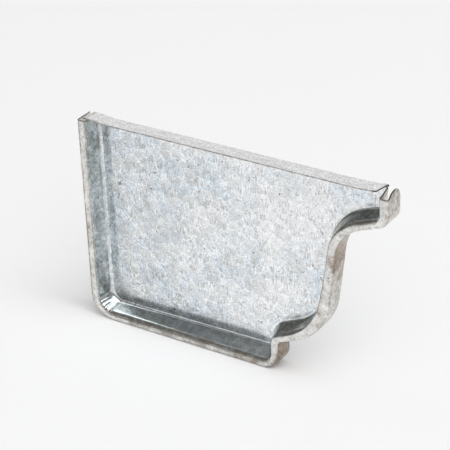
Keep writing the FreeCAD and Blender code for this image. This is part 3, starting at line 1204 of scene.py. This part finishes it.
@dataclass(frozen=True)
class GalvanisedFinish:
    """Hot-dip zinc: frosty spangle on the web, smoother walls, and a dull, stained rim and outer wall."""

    name: str = "galvanised_front"
    web_pale: Colour = (0.835, 0.845, 0.855)
    # cool tints: at random by crystal, and most where the painted reflection cools the web towards the back
    web_cool: Colour = (0.725, 0.785, 0.84)
    web_grey: Colour = (0.77, 0.79, 0.80)
    wall: Colour = (0.53, 0.563, 0.563)
    # the colour of the painted shade in the hollows
    hollow: Colour = (0.275, 0.28, 0.255)
    rim: Colour = (0.68, 0.672, 0.652)
    outer: Colour = (0.535, 0.515, 0.485)
    stain: Colour = (0.295, 0.235, 0.185)
    strip: Colour = (0.735, 0.735, 0.74)
    # the colour of dirt and painted shade
    dirt_and_shade: Colour = (0.24, 0.215, 0.185)
    spot_centre: tuple[float, float, float] = (-52.7 * MM, 0.0, 58.7 * MM)
    spot_radius: float = 1.4 * MM
    crystal_scale: float = 290.0
    # the side of each crystal that gets the painted highlight
    crystal_lit_side: tuple[float, float, float] = (0.6, 0.0, 0.8)
    dash_lean: float = math.radians(52.0)
    roughness: float = 0.2
    grain_depth: float = 0.02 * MM

    def material(self) -> bpy.types.Material:
        """The finish as a material on the cap's own coordinates and on how the press worked the sheet.

        Returns:
            The material.
        """
        material = bpy.data.materials.new(self.name)
        graph = Graph(material)
        place = graph.node("ShaderNodeTexCoord", "Object")
        patterns = self.patterns(graph, place)
        worked = graph.carried(Layer.WORKED)
        on_rim, on_outer = worked.eased(0.55, 0.72), worked.eased(0.82, 0.95)
        on_flange = (0.0 - worked).eased(0.3, 0.8)
        rim, outer = self.rim_colours(graph, patterns, on_outer)
        colour = self.web_colour(graph, patterns, place)
        colour = graph.mixed(worked.eased(0.2, 0.5), colour, self.wall_colour(graph, patterns))
        colour = graph.mixed(on_rim, colour, rim)
        colour = graph.mixed(on_outer, colour, outer)
        colour = graph.mixed(on_flange, colour, self.flange_colour(graph, patterns, worked))
        # dirt and painted shade
        colour = graph.mixed(self.dirt_and_shade_share(graph, patterns), colour, self.dirt_and_shade)

        mottle = patterns.mottle
        rough = self.roughness + (mottle - 0.5) * 0.15 + (patterns.crystal_tint - 0.5) * 0.05 + on_rim * 0.06
        relief = patterns.grain * 0.4 + mottle + patterns.chip_tone * 0.1
        height = relief * (1.0 + worked.eased(0.05, 0.3) * 1.5)
        sockets = {"Strength": 0.2, "Distance": self.grain_depth, "Height": height}
        bump = graph.node("ShaderNodeBump", 0, None, sockets)
        graph.surface({"Base Color": colour, "Metallic": 1.0, "Roughness": rough, "Normal": bump})
        return material

    def patterns(self, graph: Graph, place: Term) -> Patterns:
        """Draws what the finish is mixed from.

        Args:
            graph: the material's tree.
            place: the cap's own coordinates.

        Returns:
            The patterns.
        """
        across = graph.node("ShaderNodeSeparateXYZ", "X", None, {0: place})

        # Spangle: warped crystals, each with its own tone and tint, and a painted highlight on one side
        warp = graph.shifted(graph.noise(place, 420.0, 3.0, 0.5).also("Color"), (-0.5, -0.5, -0.5))
        bent = graph.shifted(place, graph.scaled(warp, (0.006, 0.006, 0.006)))
        crystals = graph.cells(bent, self.crystal_scale, "Color")
        crystal_tone, crystal_tint, crystal_hatch = graph.parts(crystals)
        from_heart = graph.vectors("SUBTRACT", bent, crystals.also("Position"))
        border = graph.cells(bent, self.crystal_scale, "Distance", "DISTANCE_TO_EDGE")
        chip_tone, _, _ = graph.parts(graph.cells(bent, 700.0, "Color"))

        # Grain: fine speckle, hatched crystals, white borders and dark pits
        mottle = graph.noise(place, 210.0, 4.0, 0.7)
        hatch = graph.noise(graph.scaled(place, (1.0, 1.0, 0.2)), 2200.0, 0.0, 0.5)
        turned = {"Vector": bent, "Rotation": (0.0, self.dash_lean, 0.0), "Scale": (2.6, 1.0, 1.0)}
        dashes = graph.node("ShaderNodeMapping", 0, {"vector_type": "TEXTURE"}, turned)
        pits = graph.cells(dashes, 520.0, "Distance")
        pit_share, _, _ = graph.parts(pits.also("Color"))

        # Streaks, blotches and dirt
        speckle = graph.noise(place, 650.0, 3.0, 0.7)
        return Patterns(
            across=across,
            height=across.also("Z"),
            crystal_tone=crystal_tone,
            crystal_tint=crystal_tint,
            crystal_side_light=graph.vectors("DOT_PRODUCT", from_heart, self.crystal_lit_side, "Value"),
            chip_tone=chip_tone,
            clouds=graph.noise(place, 40.0, 2.0, 0.5),
            mottle=mottle,
            grain=graph.noise(place, 1700.0, 1.0, 0.6),
            hatched=(hatch - 0.5) * crystal_hatch.eased(0.45, 0.75),
            frost=(1.0 - border.eased(0.0, 0.08)) * mottle.eased(0.43, 0.54),
            pitted=(1.0 - pits.eased(0.08, 0.2)) * pit_share.eased(0.5, 0.7),
            streaks=graph.noise(graph.scaled(place, (0.2, 1.0, 1.0)), 1500.0, 3.0, 0.6),
            blotches=graph.noise(place, 190.0, 4.0, 0.65),
            speckle=speckle,
            dirt=graph.noise(place, 150.0, 5.0, 0.75) + (speckle - 0.5) * 0.5,
        )

    def web_colour(self, graph: Graph, patterns: Patterns, place: Term) -> Term:
        """The web: spangle, dark pits and one stain, with painted reflection and shade, cooler and darker
        towards the back.

        Args:
            graph: the material's tree.
            patterns: what the colour is mixed from.
            place: the cap's own coordinates.

        Returns:
            The colour.
        """
        across, height = patterns.across, patterns.height
        # painted shade: darker just above the base's fold
        from_base = height.eased(8.5 * MM, 11.0 * MM) * 0.04 + 0.05
        over_base = from_base * (1.0 - height.eased(9.0 * MM, 18.0 * MM))
        # painted shade: darker along the back's fold
        from_back = across.eased(-57.5 * MM, -53.7 * MM)
        back_fold_shade = from_back * (1.0 - across.eased(-53.7 * MM, -46.0 * MM)) * 0.04
        flakes = (
            patterns.mottle * 0.3
            + patterns.crystal_tone * 0.19
            # painted highlight on one side of each crystal
            + patterns.crystal_side_light * 55.0
            + patterns.chip_tone * 0.14
            + patterns.frost * 0.42
            - 0.2
        )
        tone = (
            0.83
            # painted reflection: darker towards the back
            + across.eased(-60.0 * MM, 10.0 * MM) * 0.11
            + (patterns.clouds - 0.5) * 0.12
            + (flakes - 0.12) * (0.84 - across.eased(-10.0 * MM, 50.0 * MM) * 0.3)
            + (patterns.grain - 0.5) * 1.0
            + patterns.hatched * 0.8
            - patterns.pitted * (0.6 + across.eased(-30.0 * MM, 30.0 * MM) * 0.3)
            - (over_base + back_fold_shade)
        )
        cool = graph.mixed(patterns.crystal_tint.eased(0.3, 0.9), self.web_cool, self.web_grey)
        # painted reflection: cooler towards the back; the web is also cooler near the lip
        pale_share = patterns.clouds + across * 1.6 - across.eased(40.0 * MM, 58.0 * MM) * 0.13
        tint = graph.mixed(pale_share.eased(0.36, 0.64), cool, self.web_pale)
        flat_place = graph.scaled(place, (1.0, 0.0, 1.0))
        from_spot = graph.vectors("DISTANCE", flat_place, self.spot_centre, "Value")
        spot = 1.0 - from_spot.eased(0.3 * self.spot_radius, self.spot_radius)
        return graph.toned(graph.mixed(spot * 0.65, tint, self.stain), tone)

    def wall_colour(self, graph: Graph, patterns: Patterns) -> Term:
        """The inner wall: blotched, with painted shade in the hollows.

        Args:
            graph: the material's tree.
            patterns: what the colour is mixed from.

        Returns:
            The colour.
        """
        blotched = (
            (patterns.blotches - 0.5) * 1.9
            + (patterns.speckle - 0.5) * 2.3
            + (patterns.chip_tone - 0.5) * 0.2
        )
        on_back = (1.0 - patterns.across.eased(-60.0 * MM, -54.0 * MM)) * 0.07
        over_base = 0.55 + patterns.height.eased(6.0 * MM, 12.0 * MM) * 0.45
        # painted shade in the hollows
        tint = graph.mixed(graph.carried(Layer.HOLLOW_SHADE), self.wall, self.hollow)
        return graph.toned(tint, 1.02 + on_back + blotched * over_base)

    def rim_colours(self, graph: Graph, patterns: Patterns, on_outer: Term) -> tuple[Term, Term]:
        """The rim and the outer wall: dull, speckled and stained.

        Args:
            graph: the material's tree.
            patterns: what the colours are mixed from.
            on_outer: 1 on the outer wall.

        Returns:
            The rim's colour and the outer wall's.
        """
        stains = (patterns.dirt + graph.carried(Layer.STAINED) * 0.42).eased(0.53, 0.7) * 0.92
        speckled = (patterns.speckle - 0.5) * (1.8 + on_outer * 1.2)
        tone = 1.04 + (patterns.blotches - 0.5) * 0.9 + speckled - patterns.pitted * 0.8
        rim = graph.toned(graph.mixed(stains, self.rim, self.stain), tone)
        return rim, graph.toned(graph.mixed(stains, self.outer, self.stain), tone)

    def flange_colour(self, graph: Graph, patterns: Patterns, worked: Term) -> Term:
        """The flange: streaked along its length, with painted shade on its bend.

        Args:
            graph: the material's tree.
            patterns: what the colour is mixed from.
            worked: how the press worked the sheet.

        Returns:
            The colour.
        """
        tone = (
            1.0
            + (patterns.streaks - 0.5) * 0.7
            + (patterns.grain - 0.5) * 0.9
            + (patterns.chip_tone - 0.5) * 0.12
            # painted shade on the flange's bend
            - (0.0 - worked).eased(1.1, 1.5) * 0.38
        )
        return graph.toned(self.strip, tone)

    @staticmethod
    def dirt_and_shade_share(graph: Graph, patterns: Patterns) -> Term:
        """How much of the finish is covered by dirt and painted shade, in patches.

        Args:
            graph: the material's tree.
            patterns: what the patches are mixed from.

        Returns:
            The share, from 0 to 0.85.
        """
        dirt_and_shade = graph.carried(Layer.DIRT_AND_SHADE)
        patchy = patterns.dirt + (patterns.streaks - 0.5) * 0.4 + dirt_and_shade * 0.2
        return dirt_and_shade.eased(0.2, 0.9) * patchy.eased(0.52, 0.72) * 0.85


BACK_FINISH = GalvanisedFinish(
    name="galvanised_back",
    wall=(0.60, 0.58, 0.555),
    # the colour of the painted shade in the hollows on the back faces
    hollow=(0.33, 0.27, 0.225),
    rim=(0.62, 0.60, 0.575),
    outer=(0.66, 0.65, 0.63),
    dirt_and_shade=(0.40, 0.37, 0.335),
)


@dataclass(frozen=True)
class CutEdgeFinish:
    """Bare sheared steel, darkened in the air."""

    steel: Colour = (0.50, 0.49, 0.475)
    rust: Colour = (0.31, 0.285, 0.26)
    # the colour of dirt and painted shade at the cut ends
    dirt: Colour = (0.07, 0.06, 0.05)
    roughness: float = 0.55

    def material(self) -> bpy.types.Material:
        """The finish as a material on the cap's own coordinates.

        Returns:
            The material.
        """
        material = bpy.data.materials.new("cut_edge")
        graph = Graph(material)
        streaks = graph.noise(graph.node("ShaderNodeTexCoord", "Object"), 700.0, 3.0, 0.5)
        colour = graph.mixed(streaks.eased(0.4, 0.65), self.steel, self.rust)
        # dirt and painted shade at the cut ends
        colour = graph.mixed(graph.carried(Layer.DIRT_AND_SHADE).eased(0.3, 0.9), colour, self.dirt)
        rough = self.roughness + (streaks - 0.5) * 0.2
        graph.surface({"Base Color": colour, "Metallic": 1.0, "Roughness": rough})
        return material


@dataclass(frozen=True)
class Softbox:
    """A round studio lamp that points at the cap."""

    name: str
    towards: tuple[float, float, float]
    distance: float
    size: float
    power: float

    def hang(self, aim: Vector) -> None:
        """Adds the lamp.

        Args:
            aim: the point that it lights.
        """
        direction = Vector(self.towards).normalized()
        bpy.ops.object.select_all(action="DESELECT")
        bpy.ops.object.light_add(type="AREA", location=aim + direction * self.distance)
        lamp = bpy.context.object
        lamp.name = lamp.data.name = self.name
        lamp.data.shape = "DISK"
        lamp.data.size = self.size
        lamp.data.energy = self.power
        lamp.rotation_euler = direction.to_track_quat("Z", "Y").to_euler()


@dataclass(frozen=True)
class Studio:
    """Pale floor, a bright backdrop behind, a dim room in front, three softboxes and the camera."""

    floor_colour: Colour = (0.93, 0.93, 0.93)
    floor_size: float = 12.0
    backdrop: float = 0.92
    room: float = 0.33
    dome: float = 0.40
    softboxes: tuple[Softbox, ...] = (
        Softbox("left_softbox", (-0.48, 0.03, 0.88), 6.0, 2.0, 7.0),
        Softbox("right_softbox", (0.5, -0.02, 0.87), 6.0, 2.4, 62.0),
        Softbox("front_softbox", (0.42, -0.41, 0.81), 6.0, 6.6, 254.0),
    )

    # The camera, as the photograph was taken
    aim: tuple[float, float, float] = (-8.033 * MM, 6.187 * MM, 50.622 * MM)
    azimuth: float = 33.115
    elevation: float = 29.03
    roll: float = -2.343
    distance: float = 681.668 * MM
    lens: float = 146.33
    sensor: float = 36.0

    def set_up(self) -> None:
        """Lays the floor, lights the room and places the camera."""
        self.lay_floor()
        self.paint_world()
        for softbox in self.softboxes:
            softbox.hang(Vector(self.aim))
        self.place_camera()
        bpy.context.scene.view_settings.view_transform = "Standard"

    def lay_floor(self) -> None:
        """Adds the floor, which isn't part of the object."""
        bpy.ops.object.select_all(action="DESELECT")
        bpy.ops.mesh.primitive_plane_add(size=self.floor_size)
        floor = bpy.context.object
        floor.name = floor.data.name = "floor"
        material = bpy.data.materials.new("floor")
        sockets = {"Base Color": opaque(self.floor_colour), "Roughness": 1.0, "Specular IOR Level": 0.0}
        Graph(material).surface(sockets)
        floor.data.materials.append(material)

    def paint_world(self) -> None:
        """Makes the room bright behind the cap and dim in front, and pale where the camera sees it."""
        world = bpy.data.worlds.new("studio")
        graph = Graph(world)
        direction = graph.node("ShaderNodeTexCoord", "Generated")
        depth = graph.node("ShaderNodeSeparateXYZ", "Y", None, {0: direction})
        light = self.room + (self.backdrop - self.room) * depth.eased(-0.25, 0.45)
        camera = graph.node("ShaderNodeLightPath", "Is Camera Ray")
        mirrored = camera.also("Is Glossy Ray") + camera.also("Is Transmission Ray")
        strength = camera * self.backdrop + mirrored * light + (1.0 - camera - mirrored) * self.dome
        sockets = {"Color": (1.0, 1.0, 1.0, 1.0), "Strength": strength}
        shader = graph.node("ShaderNodeBackground", 0, None, sockets)
        graph.node("ShaderNodeOutputWorld", None, None, {"Surface": shader})
        bpy.context.scene.world = world

    def place_camera(self) -> None:
        """Adds the camera at the photograph's viewing angle."""
        turn, lift, roll = (math.radians(angle) for angle in (self.azimuth, self.elevation, self.roll))
        back = Vector((math.sin(turn) * math.cos(lift), -math.cos(turn) * math.cos(lift), math.sin(lift)))
        level = Vector((math.cos(turn), math.sin(turn), 0.0))
        rise = back.cross(level)
        right = level * math.cos(roll) + rise * math.sin(roll)
        up = rise * math.cos(roll) - level * math.sin(roll)
        bpy.ops.object.select_all(action="DESELECT")
        bpy.ops.object.camera_add()
        camera = bpy.context.object
        camera.matrix_world = Matrix.Translation(Vector(self.aim) + back * self.distance) @ Matrix(
            (right, up, back)
        ).transposed().to_4x4()
        camera.data.lens = self.lens
        camera.data.sensor_width = self.sensor
        bpy.context.scene.camera = camera


def main() -> None:
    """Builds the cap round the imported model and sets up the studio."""
    logging.basicConfig(level=logging.INFO, format="%(name)s: %(message)s")
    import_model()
    cap = FoldedCap(*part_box(NODE))
    piece = cap.build()
    cap.dress(piece, {
        Side.FRONT: GalvanisedFinish().material(),
        Side.CUT: CutEdgeFinish().material(),
        Side.BACK: BACK_FINISH.material(),
    })
    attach(piece, "root")
    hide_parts(NODE)
    Studio().set_up()


if __name__ == "__main__":
    main()
